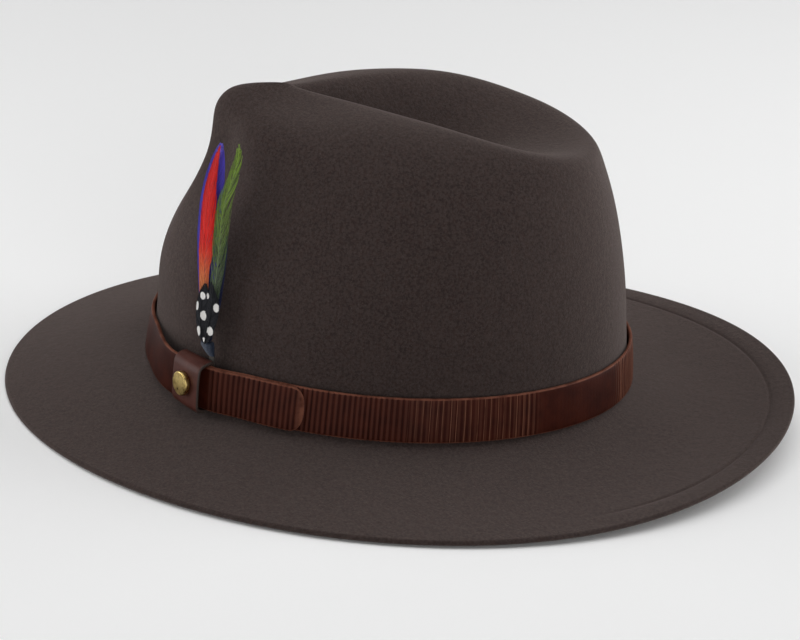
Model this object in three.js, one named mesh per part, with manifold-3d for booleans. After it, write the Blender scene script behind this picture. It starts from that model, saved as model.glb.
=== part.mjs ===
// A felt fedora: one blocked felt body, a leather belt band with keeper and rivet, a feather trim
// that lifts out of the keeper, and the sweatband, tapes and satin lining inside.
// Millimetres, +Z up. The hat stands on its brim at z = 0, front towards -Y, wearer's left at +X.
import * as THREE from "three";
import { mergeVertices } from "three/addons/utils/BufferGeometryUtils.js";
import Module from "manifold-3d";

// ---- Driving dimensions ----
const SEAT_HEIGHT = 15.6; // the band's bottom line above the surface the brim stands on
const CROWN_FORWARD = 5.7; // the crown sits this far in front of the brim's centre
const HEAD_HALF_WIDTH = 88; // felt crown at the band's bottom line, side to side
const HEAD_HALF_LENGTH = 102.8; // and front to back
const FELT_THICKNESS = 2.2;
const AROUND = 48; // stations round the head
const CENTRE_CLEARANCE = 0.3; // between the felt's inside and the centre plane, fading to the dent's floor line

// The ridge is a teardrop seen from above, pointed at the front.
const RIDGE_HEIGHT = 121.4;
const RIDGE_FALL = 17; // how much lower the ridge is at the back
const RIDGE_HALF_WIDTH = 63; // scale of the teardrop, its real half width is 46
const RIDGE_HALF_LENGTH = 67.5;
const RIDGE_CENTRE_Y = 11.5;
const RIDGE_POINT = 1.35; // larger is more pointed at the front
const NOSE = { rise: 1.6, spread: 15 }; // the front of the crown stands a little above the ridge

// Wall rows from the band's bottom line up to the ridge, as [share of the way in, share of the height].
const FRONT_ROWS = [
  [0, 0], [0, 0.17], [0.02, 0.34], [0.135, 0.51], [0.285, 0.655], [0.37, 0.76],
  [0.385, 0.85], [0.4, 0.92], [0.51, 0.976], [0.685, 0.994], [0.84, 0.998], [1, 0.998],
];
const SIDE_ROWS = [
  [0, 0], [0.02, 0.17], [0.06, 0.34], [0.12, 0.51], [0.22, 0.655], [0.36, 0.78],
  [0.5, 0.87], [0.64, 0.93], [0.77, 0.97], [0.88, 0.99], [0.95, 0.998], [1, 1],
];
const BACK_ROWS = [
  [0, 0], [0.06, 0.17], [0.2, 0.36], [0.35, 0.54], [0.51, 0.69], [0.665, 0.8],
  [0.8, 0.88], [0.89, 0.93], [0.95, 0.965], [0.98, 0.985], [1, 0.995], [1, 1],
];
const DENT_ROWS = [[0, 0], [0.12, 0.03], [0.28, 0.2], [0.48, 0.55], [0.68, 0.84], [0.85, 0.97], [1, 1]];
const DENT_DEPTH = { front: 16, middle: 36, back: 8 };
const WALL_SPANS = SIDE_ROWS.length - 1;
const DENT_SPANS = DENT_ROWS.length - 1;
const DENT_SPINE = 0.42; // the dent's floor line, as a share of the ridge's length
const DENT_SPINE_SHIFT = -2;
const BACK_ROUNDING = { from: 80, to: 135, passes: 7, firstRow: 6 }; // the ridge rounded off at the back

// The felt drawn in behind the band's top edge, less so towards the back.
const WAIST = { depth: 3.1, height: 20, spread: 10, fade: 0.5 };
const PINCH = { angle: 14, height: 98, spread: 10, tall: 20, depth: 6 }; // each finger hollow
const SHOULDER_DROP = { angle: 36, spread: 17, depth: 5 }; // the ridge sharpened above the hollows

const BRIM_WIDTH = 65.4;
const BRIM_ROOT_Z = -3.3; // middle of the felt where the brim leaves the crown
const BRIM_EDGE = { mean: -11.08, frontDrop: 5.59, sideDrop: 2.89, corner: 1.3, backShift: 5.7 };
const BRIM_CURVE = 1.15;
const BRIM_BACK_DIP = 4;

const BAND_LOW = 0.4; // the strap's bottom edge
const BAND_TOP = 19;
const BAND_LEAN = { front: 1.8, back: 2.1 }; // how far the band's top edge leans in
const STRAP_THICKNESS = 1.5;
const GAP = 0.3;
const KEEPER_ANGLE = 33;
const KEEPER_HALF_SPAN = 5.1; // degrees each side, 17 mm in all
const KEEPER_WALL = { inner: 1.1, outer: 1.4 };
const KEEPER_BACK_AT = 1.6; // the keeper's back wall stands this far off the felt
const KEEPER_FLARE = 3; // how much further out its front wall stands at the end towards the back
const TAIL_TIP = 422.8; // degrees from the front, after once round
const TAIL_ROUND = 3.6; // degrees over which the tail's corners are rounded
const RIVET_Z = 10.4;
const RIVET_TURN = 10; // the rivet faces this many degrees more to the front than the felt does
const RIVET_SHAFT_RADIUS = 1.4;
const RIVET_HOLE_RADIUS = 1.7;
const RIVET_CAP_RADIUS = 5.05;
const RIVET_FLANGE = { radius: 2, inner: -9.5, outer: -8.85 }; // along its axis from under the cap

const SWEATBAND = { low: -0.8, high: 34, depth: 3.8, thickness: 1 };
const SEWN_CLEARANCE = 1.5; // a flat piece against the curved sweatband
const REED_RADIUS = 0.8;
const TAPE = { low: -0.8, high: 9, depth: 2.6, thickness: 0.5 };
const LINING = { depth: 3, tipDepth: 3.6, thickness: 0.4 };

const TRIM_ANGLE = 35; // where the feathers stand on the band
const TRIM_BEND = 9; // how far the feathers curve in towards the crown at their tips
const TRIM_LENGTH = 90;
const TRIM_BASE = 22; // the height from which "up" on the trim is counted
const FEATHER_THICKNESS = 0.5;

// Layers at the keeper, counted outwards from the felt.
const STRAP_INNER_AT = KEEPER_BACK_AT + KEEPER_WALL.inner + GAP;
const STRAP_OUTER_AT = STRAP_INNER_AT + STRAP_THICKNESS + GAP;
const KEEPER_FRONT_AT = STRAP_OUTER_AT + STRAP_THICKNESS + GAP;
const RIVET_CAP_AT = KEEPER_FRONT_AT + KEEPER_FLARE / 2 + KEEPER_WALL.outer + GAP;

const wasm = await Module();
wasm.setup();

const { abs, cos, exp, max, min, PI, sign, sin } = Math;
const rad = THREE.MathUtils.degToRad;
const clamp01 = (x) => min(1, max(0, x));
const smooth = (from, to, x) => THREE.MathUtils.smoothstep(x, from, to);
const bell = (x, spread) => exp(-((x / spread) ** 2) / 2);
const UP = new THREE.Vector3(0, 0, 1);

// ---- Felt surface ----

// The base oval at the band's bottom line; angle 0 is the front and +90 degrees the wearer's left.
function ovalPoint(phi) {
  return new THREE.Vector3(HEAD_HALF_WIDTH * sin(phi), -HEAD_HALF_LENGTH * cos(phi), 0);
}

function ovalNormal(phi) {
  return new THREE.Vector3(HEAD_HALF_LENGTH * sin(phi), -HEAD_HALF_WIDTH * cos(phi), 0).normalize();
}

function ridgePoint(phi) {
  const t = abs(phi);
  const half = sin(t / 2);
  return new THREE.Vector3(
    RIDGE_HALF_WIDTH * sin(t) * half ** RIDGE_POINT * sign(phi),
    -RIDGE_HALF_LENGTH * cos(t) + RIDGE_CENTRE_Y,
    RIDGE_HEIGHT - RIDGE_FALL * half ** 4 + NOSE.rise * bell(phi, rad(NOSE.spread)),
  );
}

// Control points of the wall at one angle: front, side and back rows blended, then pinched.
function wallRows(phi) {
  const front = max(0, cos(phi)) ** 2;
  const back = max(0, -cos(phi)) ** 2;
  const side = 1 - front - back;
  const base = ovalPoint(phi);
  const ridge = ridgePoint(phi);
  const out = ovalNormal(phi);
  const shoulder = bell(abs(phi) - rad(SHOULDER_DROP.angle), rad(SHOULDER_DROP.spread));
  const pinched = bell(abs(phi) - rad(PINCH.angle), rad(PINCH.spread));
  const waistDepth = WAIST.depth * (1 - (WAIST.fade * (1 - cos(phi))) / 2);
  return FRONT_ROWS.map((row, i) => {
    const share = front * row[0] + side * SIDE_ROWS[i][0] + back * BACK_ROWS[i][0];
    const height = front * row[1] + side * SIDE_ROWS[i][1] + back * BACK_ROWS[i][1];
    const p = base.clone().lerp(ridge, share);
    p.z = ridge.z * height;
    const hollow = PINCH.depth * pinched * bell(p.z - PINCH.height, PINCH.tall) * clamp01((1 - share) / 0.3);
    const waist = waistDepth * exp(-(((p.z - WAIST.height) / WAIST.spread) ** 2));
    p.addScaledVector(out, -hollow - waist);
    p.z -= SHOULDER_DROP.depth * shoulder * sin(PI * clamp01((share - 0.25) / 0.75));
    return p;
  });
}

// A point on a uniform cubic B-spline whose ends reach the first and last control points.
function splinePoint(rows, t) {
  const spans = rows.length - 1;
  const i = min(spans - 1, Math.floor(t * spans));
  const f = t * spans - i;
  const at = (k) => {
    if (k < 0) return rows[0].clone().multiplyScalar(2).sub(rows[1]);
    if (k > spans) return rows[spans].clone().multiplyScalar(2).sub(rows[spans - 1]);
    return rows[k];
  };
  const weights = [(1 - f) ** 3, 3 * f ** 3 - 6 * f ** 2 + 4, -3 * f ** 3 + 3 * f ** 2 + 3 * f + 1, f ** 3];
  const p = new THREE.Vector3();
  weights.forEach((w, k) => p.addScaledVector(at(i + k - 1), w / 6));
  return p;
}

// Control points of the dent inside the ridge, down to a floor line that runs front to back.
function dentRows(phi, ridge) {
  const back = (1 - cos(phi)) / 2;
  const floorY = RIDGE_CENTRE_Y + DENT_SPINE_SHIFT + (ridge.y - RIDGE_CENTRE_Y) * DENT_SPINE;
  const depth =
    DENT_DEPTH.front * (1 - back) ** 2 + DENT_DEPTH.middle * 2 * back * (1 - back) + DENT_DEPTH.back * back ** 2;
  const floor = new THREE.Vector3(0, floorY, RIDGE_HEIGHT - depth - RIDGE_FALL * back ** 2);
  return DENT_ROWS.map(([share, fall]) => {
    const p = ridge.clone().lerp(floor, share);
    p.z = THREE.MathUtils.lerp(ridge.z, floor.z, fall);
    return p;
  });
}

// Control points of the whole section: up the wall, over the ridge and down to the dent's floor line.
function sectionRows(phi) {
  const wall = wallRows(phi);
  const rows = [...wall, ...dentRows(phi, wall[WALL_SPANS]).slice(1)];
  const { from, to, passes, firstRow } = BACK_ROUNDING;
  const amount = 0.5 * smooth(rad(from), rad(to), abs(phi));
  for (let pass = 0; pass < passes; pass++) {
    const before = rows.map((p) => p.clone());
    for (let i = firstRow; i < rows.length - 1; i++) {
      rows[i].lerp(before[i - 1].add(before[i + 1]).multiplyScalar(0.5), amount);
    }
  }
  return rows;
}

// The felt's outer surface: t from 0 at the band's bottom line to 1 on the ridge and 2 on the dent's floor.
function crownPoint(t, phi) {
  const along = t <= 1 ? t * WALL_SPANS : WALL_SPANS + (t - 1) * DENT_SPANS;
  return splinePoint(sectionRows(phi), along / (WALL_SPANS + DENT_SPANS));
}

// The same surface moved inwards by depth; on the dent's floor line the move is straight down.
function crownInside(t, phi, depth) {
  const step = 1e-3;
  const along = crownPoint(min(2, t + step), phi).sub(crownPoint(max(0, t - step), phi));
  const across = crownPoint(t, phi + step).sub(crownPoint(t, phi - step));
  const normal = across.cross(along).normalize();
  normal.lerp(UP, smooth(1.4, 2, t)).normalize();
  const p = crownPoint(t, phi).addScaledVector(normal, -depth);
  // Each half stays on its own side where the ridge and the dent come to a point at the front.
  p.x = sign(phi) * max(sign(phi) * p.x, CENTRE_CLEARANCE * (2 - t));
  return p;
}

// The wall parameter at which the crown is a given height.
function wallAt(height, phi) {
  let low = 0;
  let high = 0.9;
  for (let i = 0; i < 30; i++) {
    const mid = (low + high) / 2;
    if (crownPoint(mid, phi).z < height) low = mid;
    else high = mid;
  }
  return (low + high) / 2;
}

// The brim: s from 0 at the crown to 1 at the edge, side +1 for its top face and -1 for its underside.
function brimPoint(s, phi, side) {
  const e = BRIM_EDGE;
  const edgeZ = e.mean - e.frontDrop * cos(phi) + e.sideDrop * cos(2 * phi) - e.corner * cos(3 * phi);
  const back = (1 - cos(phi)) / 2;
  const z =
    BRIM_ROOT_Z + (edgeZ - BRIM_ROOT_Z) * s ** BRIM_CURVE - BRIM_BACK_DIP * back ** 2 * sin(PI * s);
  return new THREE.Vector3(
    (HEAD_HALF_WIDTH + BRIM_WIDTH * s) * sin(phi),
    -(HEAD_HALF_LENGTH + BRIM_WIDTH * s) * cos(phi) + e.backShift * s,
    z + (side * FELT_THICKNESS) / 2,
  );
}

// ---- Mesh building ----

// Equal steps round the head, with the seam at the back.
const ANGLES = Array.from({ length: AROUND }, (_, j) => -PI + (2 * PI * (j + 0.5)) / AROUND);
const steps = (from, to, count) => Array.from({ length: count }, (_, i) => from + ((to - from) * i) / (count - 1));

// Six times the volume that the triangles enclose, negative where they face inwards.
function signedVolume(points, triangles) {
  const normal = new THREE.Vector3();
  return triangles.reduce((sum, [a, b, c]) => sum + points[a].dot(normal.crossVectors(points[b], points[c])), 0);
}

function meshOf(points, triangles) {
  const outward = signedVolume(points, triangles) > 0;
  const facing = outward ? triangles : triangles.map(([a, b, c]) => [a, c, b]);
  const geometry = new THREE.BufferGeometry();
  const flat = facing.flatMap((triangle) => triangle.flatMap((i) => points[i].toArray()));
  geometry.setAttribute("position", new THREE.Float32BufferAttribute(flat, 3));
  geometry.computeVertexNormals();
  return geometry;
}

// Skins over a grid of rows of points. wrapRows and wrapColumns close it on itself.
function skin(rows, { wrapRows = false, wrapColumns = false, flip = false } = {}) {
  const columns = rows[0].length;
  const triangles = [];
  const rowCount = wrapRows ? rows.length : rows.length - 1;
  const columnCount = wrapColumns ? columns : columns - 1;
  for (let i = 0; i < rowCount; i++) {
    for (let j = 0; j < columnCount; j++) {
      const a = i * columns + j;
      const b = i * columns + ((j + 1) % columns);
      const c = ((i + 1) % rows.length) * columns + ((j + 1) % columns);
      const d = ((i + 1) % rows.length) * columns + j;
      triangles.push(...(flip ? [[a, c, b], [a, d, c]] : [[a, b, c], [a, c, d]]));
    }
  }
  return { points: rows.flat(), triangles };
}

// A solid swept round the head: section(phi) gives its closed loop of points.
function ringSolid(section) {
  const { points, triangles } = skin(ANGLES.map(section), { wrapRows: true, wrapColumns: true });
  return meshOf(points, triangles);
}

// A solid whose section is an open path that meets its mirror image on the dent's floor line.
function cappedSolid(section) {
  const half = ANGLES.map((phi) => section(phi));
  const { points, triangles } = skin(half, { wrapRows: true });
  return sealFloor(points, triangles, half[0].length);
}

// Zips the two sides of the floor line together: station j meets station AROUND - 1 - j.
function sealFloor(points, triangles, columns) {
  const first = (j) => j * columns;
  const last = (j) => j * columns + columns - 1;
  for (let j = 0; j < AROUND / 2 - 1; j++) {
    const k = AROUND - 1 - j;
    for (const [end, flip] of [[first, true], [last, false]]) {
      const quad = [end(j), end(j + 1), end(k - 1), end(k)];
      const [a, b, c, d] = flip ? quad : [...quad].reverse();
      triangles.push([a, b, c], [a, c, d]);
    }
  }
  return meshOf(points, triangles);
}

// A solid strip: stations of closed loops, with flat ends.
function stripSolid(loops) {
  const { points, triangles } = skin(loops, { wrapColumns: true });
  const count = loops[0].length;
  const start = (loops.length - 1) * count;
  for (let k = 1; k < count - 1; k++) {
    triangles.push([0, k + 1, k], [start, start + k, start + k + 1]);
  }
  return meshOf(points, triangles);
}

// A hollow strip: an outer and an inner loop at each station, joined by ring-shaped ends.
function sleeveSolid(outerLoops, innerLoops) {
  const outer = skin(outerLoops, { wrapColumns: true });
  const inner = skin(innerLoops, { wrapColumns: true, flip: true });
  const shift = outer.points.length;
  const count = outerLoops[0].length;
  const triangles = [...outer.triangles, ...inner.triangles.map((t) => t.map((i) => i + shift))];
  for (const [start, flip] of [[0, false], [(outerLoops.length - 1) * count, true]]) {
    for (let k = 0; k < count; k++) {
      const next = (k + 1) % count;
      const [a, b, c, d] = [start + k, start + shift + k, start + shift + next, start + next];
      triangles.push(...(flip ? [[a, c, b], [a, d, c]] : [[a, b, c], [a, c, d]]));
    }
  }
  return meshOf([...outer.points, ...inner.points], triangles);
}

function toManifold(geometry) {
  const bare = new THREE.BufferGeometry();
  const source = geometry.index ? geometry.toNonIndexed() : geometry;
  bare.setAttribute("position", source.getAttribute("position"));
  const merged = mergeVertices(bare, 1e-4);
  return new wasm.Manifold(
    new wasm.Mesh({
      numProp: 3,
      vertProperties: merged.attributes.position.array,
      triVerts: new Uint32Array(merged.index.array),
    }),
  );
}

function fromManifold(solid) {
  const { vertProperties, triVerts } = solid.getMesh();
  const geometry = new THREE.BufferGeometry();
  geometry.setAttribute("position", new THREE.BufferAttribute(vertProperties, 3));
  geometry.setIndex(new THREE.BufferAttribute(triVerts, 1));
  return geometry.toNonIndexed();
}

const cut = (geometry, tool) => fromManifold(toManifold(geometry).subtract(toManifold(tool)));

// ---- Felt, lining and the pieces sewn inside the head opening ----

// Where the inside of the felt is sampled, so that the lining's faces run parallel to it.
const INSIDE_WALL = [0.02, 0.1, 0.18, 0.28, 0.38, 0.48, 0.58, 0.68, 0.78, 0.88, 0.96];
const INSIDE_DENT = [1.04, 1.2, 1.4, 1.6, 1.8, 2];

function feltBody() {
  const outerWall = [...steps(2, 1.2, 5), ...steps(1.06, 0.5, 9), ...steps(0.4, 0.02, 5), 0];
  const innerWall = [...INSIDE_WALL, ...INSIDE_DENT];
  const across = [0.02, 0.35, 0.68, 0.95, 1];
  return cappedSolid((phi) => [
    ...outerWall.map((t) => crownPoint(t, phi)),
    ...across.map((s) => brimPoint(s, phi, s === 1 ? 0.5 : 1)),
    ...[...across].reverse().map((s) => brimPoint(s, phi, s === 1 ? -0.5 : -1)),
    ...innerWall.map((t) => crownInside(t, phi, FELT_THICKNESS)),
  ]);
}

// A strip of even thickness against the inside of the crown, between two wall parameters.
function insideLoop(phi, parameters, depth, thickness) {
  return [
    ...parameters.map((t) => crownInside(t, phi, depth)),
    ...[...parameters].reverse().map((t) => crownInside(t, phi, depth + thickness)),
  ];
}

// A strip that lines the head opening from one height to another, on the inside of the felt.
function innerBand({ low, high, depth, thickness }) {
  const heights = [low, ...steps(4, high, 4)];
  const at = (z, phi, inset) => crownInside(wallAt(max(z, 1), phi), phi, inset).setZ(z);
  return ringSolid((phi) => [
    ...heights.map((z) => at(z, phi, depth)),
    ...[...heights].reverse().map((z) => at(z, phi, depth + thickness)),
  ]);
}

function sweatbandReed() {
  const centreZ = SWEATBAND.low - GAP - REED_RADIUS;
  const inset = SWEATBAND.depth + SWEATBAND.thickness / 2;
  return ringSolid((phi) =>
    steps(0, 300, 6).map((turn) =>
      crownInside(0.02, phi, inset + REED_RADIUS * cos(rad(turn))).setZ(centreZ + REED_RADIUS * sin(rad(turn))),
    ),
  );
}

function liningSide() {
  return ringSolid((phi) =>
    insideLoop(phi, INSIDE_WALL.slice(1, -2), LINING.depth, LINING.thickness),
  );
}

function liningTip() {
  const parameters = INSIDE_DENT.slice(1).reverse();
  return cappedSolid((phi) => insideLoop(phi, parameters, LINING.tipDepth, LINING.thickness));
}

// A place on the inside face of the sweatband: its point, inward normal and sideways direction.
function insidePlace(angle, z) {
  const phi = rad(angle);
  const inward = ovalNormal(phi).negate();
  const side = new THREE.Vector3().crossVectors(inward, UP).normalize();
  const inset = SWEATBAND.depth + SWEATBAND.thickness + SEWN_CLEARANCE;
  return { origin: crownInside(wallAt(z, phi), phi, inset).setZ(z), inward, side };
}

// A small ribbon bow: two loops and a knot in one flat outline.
function bowShape() {
  const shape = new THREE.Shape();
  shape.moveTo(-1.6, 1.2);
  shape.bezierCurveTo(-5, 5.5, -10, 5.5, -10, 0);
  shape.bezierCurveTo(-10, -5.5, -5, -5.5, -1.6, -1.2);
  shape.lineTo(1.6, -1.2);
  shape.bezierCurveTo(5, -5.5, 10, -5.5, 10, 0);
  shape.bezierCurveTo(10, 5.5, 5, 5.5, 1.6, 1.2);
  return shape;
}

function labelShape(width, height) {
  const shape = new THREE.Shape();
  shape.moveTo(-width / 2, -height / 2);
  shape.lineTo(width / 2, -height / 2);
  shape.lineTo(width / 2, height / 2);
  shape.lineTo(-width / 2, height / 2);
  return shape;
}

function sewnInside(shape, thickness, angle, z) {
  const { origin, inward, side } = insidePlace(angle, z);
  const geometry = new THREE.ExtrudeGeometry(shape, { depth: thickness, bevelEnabled: false, curveSegments: 5 });
  geometry.applyMatrix4(new THREE.Matrix4().makeBasis(side, UP.clone(), side.clone().cross(UP)));
  const facing = side.clone().cross(UP).dot(inward);
  return geometry.translate(...origin.addScaledVector(inward, facing > 0 ? 0 : thickness).toArray());
}

// ---- Band, keeper and rivet ----

// A point on the band's own frame: off from the felt, z above the band's bottom line.
function bandPoint(phi, off, z, upright = 0) {
  const back = (1 - cos(phi)) / 2;
  const lean = (THREE.MathUtils.lerp(BAND_LEAN.front, BAND_LEAN.back, back) * (1 - upright) * z) / BAND_TOP;
  return ovalPoint(phi).addScaledVector(ovalNormal(phi), off - lean).setZ(z);
}

// How far the strap's inner face stands off the felt, along its length in degrees from the front.
function strapOffset(angle) {
  const start = KEEPER_ANGLE + KEEPER_HALF_SPAN;
  const lift = STRAP_INNER_AT - GAP;
  const underLayer = (a) => GAP + lift * (1 - smooth(start, start + 10, a));
  if (angle < 200) return underLayer(angle);
  const layer = STRAP_THICKNESS + GAP;
  if (angle > 360 + start) return underLayer(angle - 360) + layer;
  return GAP + (lift + layer) * smooth(360 + 4, 360 + KEEPER_ANGLE - KEEPER_HALF_SPAN, angle);
}

// One belt strap: it starts under the keeper, runs right round the crown, passes through the keeper
// again and ends in a rounded tail over its own beginning.
function bandStrap() {
  const first = KEEPER_ANGLE - KEEPER_HALF_SPAN + 1;
  const rise = steps(first, TAIL_TIP - TAIL_ROUND, 72);
  const tail = steps(10, 80, 6).map((turn) => TAIL_TIP - TAIL_ROUND * (1 - sin(rad(turn))));
  const middle = (BAND_LOW + BAND_TOP) / 2;
  const loops = [...rise, ...tail].map((angle) => {
    const phi = rad(angle);
    const round = clamp01((angle - (TAIL_TIP - TAIL_ROUND)) / TAIL_ROUND);
    const halfHeight = ((BAND_TOP - BAND_LOW) / 2) * Math.sqrt(1 - round ** 2);
    const nearKeeper = abs(((angle + 180) % 360) - 180 - KEEPER_ANGLE);
    const upright = 1 - smooth(KEEPER_HALF_SPAN, 24, nearKeeper);
    const off = strapOffset(angle);
    return [
      bandPoint(phi, off, middle - halfHeight, upright),
      bandPoint(phi, off + STRAP_THICKNESS, middle - halfHeight, upright),
      bandPoint(phi, off + STRAP_THICKNESS, middle + halfHeight, upright),
      bandPoint(phi, off, middle + halfHeight, upright),
    ];
  });
  return cut(stripSolid(loops), rivetHole());
}

// The keeper: a leather loop right round both layers of the strap, wider at its end towards the back.
function bandKeeper() {
  const { inner, outer } = KEEPER_WALL;
  const inside = { back: STRAP_INNER_AT - GAP, front: KEEPER_FRONT_AT, low: BAND_LOW - GAP, high: BAND_TOP + GAP };
  const outside = {
    back: inside.back - inner,
    front: inside.front + outer,
    low: inside.low - outer,
    high: inside.high + outer,
  };
  const loops = ({ back, front, low, high }, round) =>
    steps(0, 1, 7).map((share) => {
      const phi = rad(KEEPER_ANGLE + KEEPER_HALF_SPAN * (2 * share - 1));
      const face = front + KEEPER_FLARE * share;
      const section = [
        [back, low], [face - round, low], [face - round * 0.3, low + round * 0.3], [face, low + round],
        [face, high - round], [face - round * 0.3, high - round * 0.3], [face - round, high], [back, high],
      ];
      return section.map(([off, z]) => bandPoint(phi, off, z, 1));
    });
  return cut(sleeveSolid(loops(outside, 2.4), loops(inside, 0.8)), rivetHole());
}

// Turns a shape modelled along +Y, from the underside of the rivet's cap, to lie along the rivet's axis.
function atRivet(geometry) {
  const phi = rad(KEEPER_ANGLE);
  const axis = ovalNormal(phi).applyAxisAngle(UP, -rad(RIVET_TURN));
  const turn = new THREE.Quaternion().setFromUnitVectors(new THREE.Vector3(0, 1, 0), axis);
  return geometry.applyQuaternion(turn).translate(...bandPoint(phi, RIVET_CAP_AT, RIVET_Z, 1).toArray());
}

function rivetHole() {
  const low = -RIVET_CAP_AT; // at the felt
  const high = 2; // beyond the keeper's flared front wall
  const tool = new THREE.CylinderGeometry(RIVET_HOLE_RADIUS, RIVET_HOLE_RADIUS, high - low, 12);
  return atRivet(tool.translate(0, (high + low) / 2, 0));
}

function lathe(profile, segments) {
  return new THREE.LatheGeometry(profile.map(([r, y]) => new THREE.Vector2(r, y)), segments);
}

function rivetCap() {
  const socketTop = 1.5;
  return atRivet(
    lathe(
      [
        [0, socketTop], [RIVET_HOLE_RADIUS, socketTop], [RIVET_HOLE_RADIUS, 0], [RIVET_CAP_RADIUS - 0.3, 0],
        [RIVET_CAP_RADIUS, 0.4], [RIVET_CAP_RADIUS, 1.8], [RIVET_CAP_RADIUS - 0.6, 2.4], [0, 2.6],
      ],
      28,
    ),
  );
}

function rivetPost() {
  const { radius, inner, outer } = RIVET_FLANGE;
  const tip = 1.2; // inside the cap's socket
  return atRivet(
    lathe(
      [[0, inner], [radius, inner], [radius, outer], [RIVET_SHAFT_RADIUS, outer], [RIVET_SHAFT_RADIUS, tip], [0, tip]],
      16,
    ),
  );
}

// ---- Feather trim ----

// The trim's plane: across towards the back, up from just above the band, out from the felt.
function trimPoint(across, up, out) {
  const phi = rad(TRIM_ANGLE);
  const normal = ovalNormal(phi);
  const side = new THREE.Vector3(-normal.y, normal.x, 0);
  const bend = TRIM_BEND * (max(0, up) / TRIM_LENGTH) ** 2;
  const root = ovalPoint(phi).setZ(TRIM_BASE + up);
  return root.addScaledVector(side, across).addScaledVector(normal, out - bend);
}

// One feather: a thin leaf through rows of [up, left edge, right edge].
function feather({ rows, out }) {
  const loops = rows.map(([up, left, right]) => [
    trimPoint(left, up, out),
    trimPoint(left, up, out + FEATHER_THICKNESS),
    trimPoint(right, up, out + FEATHER_THICKNESS),
    trimPoint(right, up, out),
  ]);
  return stripSolid(loops);
}

// The thread binding: a tapered barrel through sections of [up, centre, half width, back, front].
function featherBinding() {
  const sections = [[0.3, 2.7, 1.4, 0.4, 2.4], [3, 2, 2.3, 0.4, 4], [5, 1.5, 2.8, 0.4, 4.9], [6.1, 1.2, 2.7, 0.4, 4.8]];
  return stripSolid(
    sections.map(([up, centre, half, back, front]) => {
      const corner = min(half, (front - back) / 2) * 0.5;
      const section = [
        [corner - half, back], [-half, back + corner], [-half, front - corner], [corner - half, front],
        [half - corner, front], [half, front - corner], [half, back + corner], [half - corner, back],
      ];
      return section.map(([across, out]) => trimPoint(centre + across, up, out));
    }),
  );
}

const FEATHERS = {
  feather_blue: {
    rows: [
      [6.4, -1, 1], [20, -6, 1], [38, -10, 0], [50, -12.2, -1], [62, -13.4, -1.8],
      [72, -12.8, -2.3], [81, -11, -4.2], [86, -9.2, -6.2], [88.2, -7.9, -7.4],
    ],
    out: 0.6,
  },
  feather_navy: {
    rows: [[6.4, 1, 2.6], [13, 0.5, 3.6], [23, 1, 5.6], [36, 1.5, 6], [47, 2.5, 5.8], [53, 4, 4.6]],
    out: 1.4,
  },
  feather_red: {
    rows: [
      [6.4, -0.5, 1], [20, -5, 0], [37, -7.9, -2.2], [45, -9.3, -1.3], [52, -10.2, -1.6],
      [62, -11.3, -3], [71, -10.9, -4.9], [81, -8.9, -5.9], [87.3, -7, -6.4],
    ],
    out: 2.2,
  },
  feather_green: {
    rows: [
      [6.4, 1, 2.5], [28, 0.2, 6], [36, 0, 6.6], [43, -0.8, 6.9], [51, -2, 6.4], [59, -2.5, 6],
      [66, -2.8, 5.8], [73, 0, 6.3], [81, 1.8, 7.1], [87, 2.6, 6.7], [91.6, 3.2, 3.8],
    ],
    out: 3,
  },
  feather_guinea_left: {
    rows: [[6.4, -0.6, 1.4], [9, -3.2, 1.2], [15.5, -5.2, 1], [21.5, -5.6, 1.2], [27.5, -4.2, 1], [31, -2, -1]],
    out: 3.8,
  },
  feather_guinea_right: {
    rows: [[6.4, 1, 3], [12, 0.4, 6], [20, 0.5, 7.9], [26.5, 0.8, 7.4], [30.5, 1.4, 4.6], [33, 2, 3]],
    out: 4.6,
  },
};

// The flat quill tab slides between the felt and the keeper's back wall, beside the rivet's flange.
function featherStem() {
  const tabShift = 2.7; // towards the back, clear of the rivet
  const thickness = 0.9;
  const sections = [[-17, 0.9], [-15, 1.3], [0, 1.3]];
  const loops = sections.map(([up, half]) => [
    trimPoint(tabShift - half, up, GAP),
    trimPoint(tabShift - half, up, GAP + thickness),
    trimPoint(tabShift + half, up, GAP + thickness),
    trimPoint(tabShift + half, up, GAP),
  ]);
  return stripSolid(loops);
}

// ---- Materials and assembly ----

const material = (color, roughness, metalness = 0) => new THREE.MeshStandardMaterial({ color, roughness, metalness });

const FINISH = {
  felt: material(0x3a302d, 0.95),
  leather: material(0x4a1f18, 0.5),
  sweatLeather: material(0x2a211d, 0.55),
  plastic: material(0xd8d2c4, 0.5),
  tape: material(0x26211f, 0.85),
  satin: material(0x4b2b26, 0.35),
  label: material(0xe2dccb, 0.8),
  brass: material(0xb08a45, 0.35, 1),
  blue: material(0x2c2c9c, 0.7),
  navy: material(0x10142e, 0.7),
  red: material(0xc0201c, 0.7),
  green: material(0x5d7a24, 0.7),
  guinea: material(0x15161c, 0.65),
  thread: material(0x2b3350, 0.8),
  quill: material(0xb9ad92, 0.6),
};

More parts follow.
